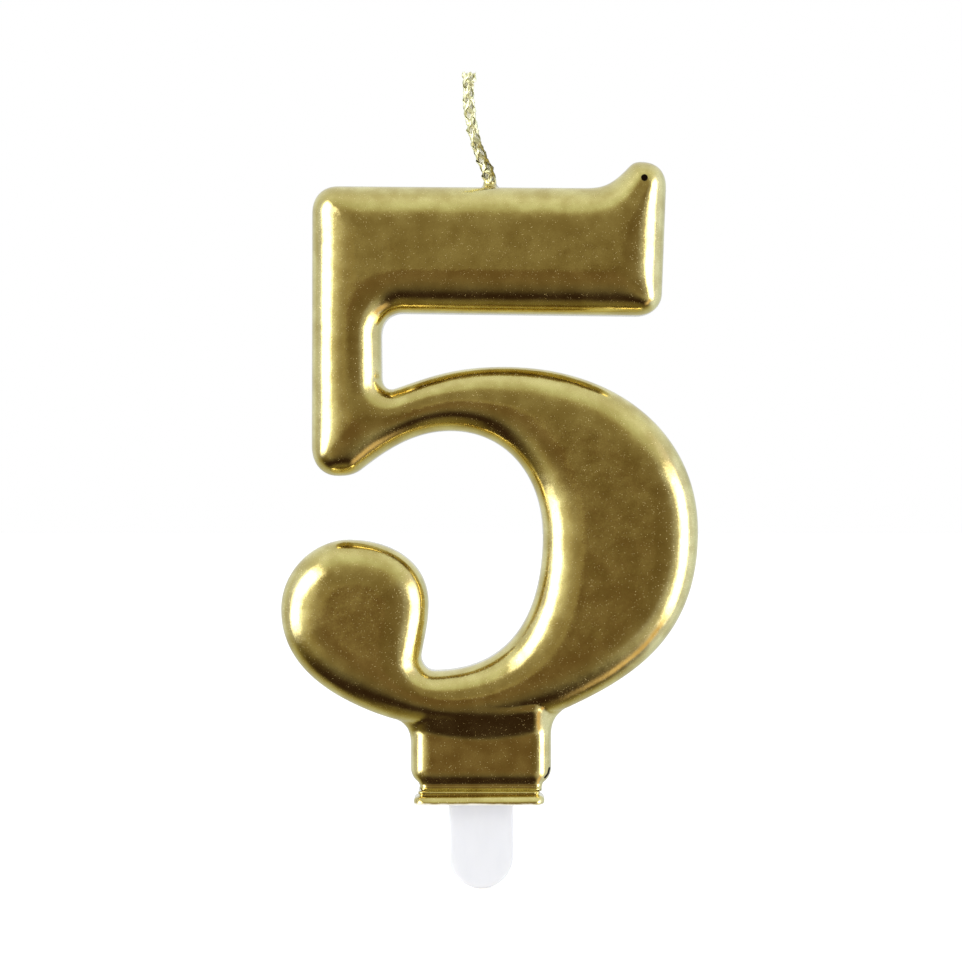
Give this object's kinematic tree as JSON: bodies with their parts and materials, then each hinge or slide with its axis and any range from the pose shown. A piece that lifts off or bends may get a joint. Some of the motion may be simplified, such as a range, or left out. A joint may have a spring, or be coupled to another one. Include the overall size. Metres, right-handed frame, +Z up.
{
  "type": "number birthday candle",
  "caption": "Number birthday candle shaped as a serif figure five in gold wax, with a tinsel wick, a small plinth on a foot plate, and a flat pick to push into a cake.",
  "frame": {"origin": "middle of the foot plate's underside, where the pick leaves it and the candle rests on the cake", "axes": "+Z up along the pick and the numeral, +X to the reader's right, -Y towards the reader"},
  "size_m": [0.0461, 0.01, 0.0906],
  "materials": {
    "gold_wax": "metallic gold lacquer with fine flakes over paraffin wax",
    "gold_plate": "metallic gold lacquer over moulded plastic",
    "white_plastic": "smooth white food-safe plastic, a little translucent",
    "cotton": "soft twisted cotton, unbleached",
    "gold_tinsel": "bright flat metallised thread"
  },
  "bodies": {
    "root": {"wax_body": "gold_wax", "foot_plate": "gold_plate", "pick": "white_plastic", "wick_ply_1": "cotton", "wick_ply_2": "cotton", "wick_ply_3": "cotton", "tinsel_right_1": "gold_tinsel", "tinsel_right_2": "gold_tinsel", "tinsel_right_3": "gold_tinsel", "tinsel_left_1": "gold_tinsel", "tinsel_left_2": "gold_tinsel", "tinsel_left_3": "gold_tinsel"}
  },
  "joints": []
}
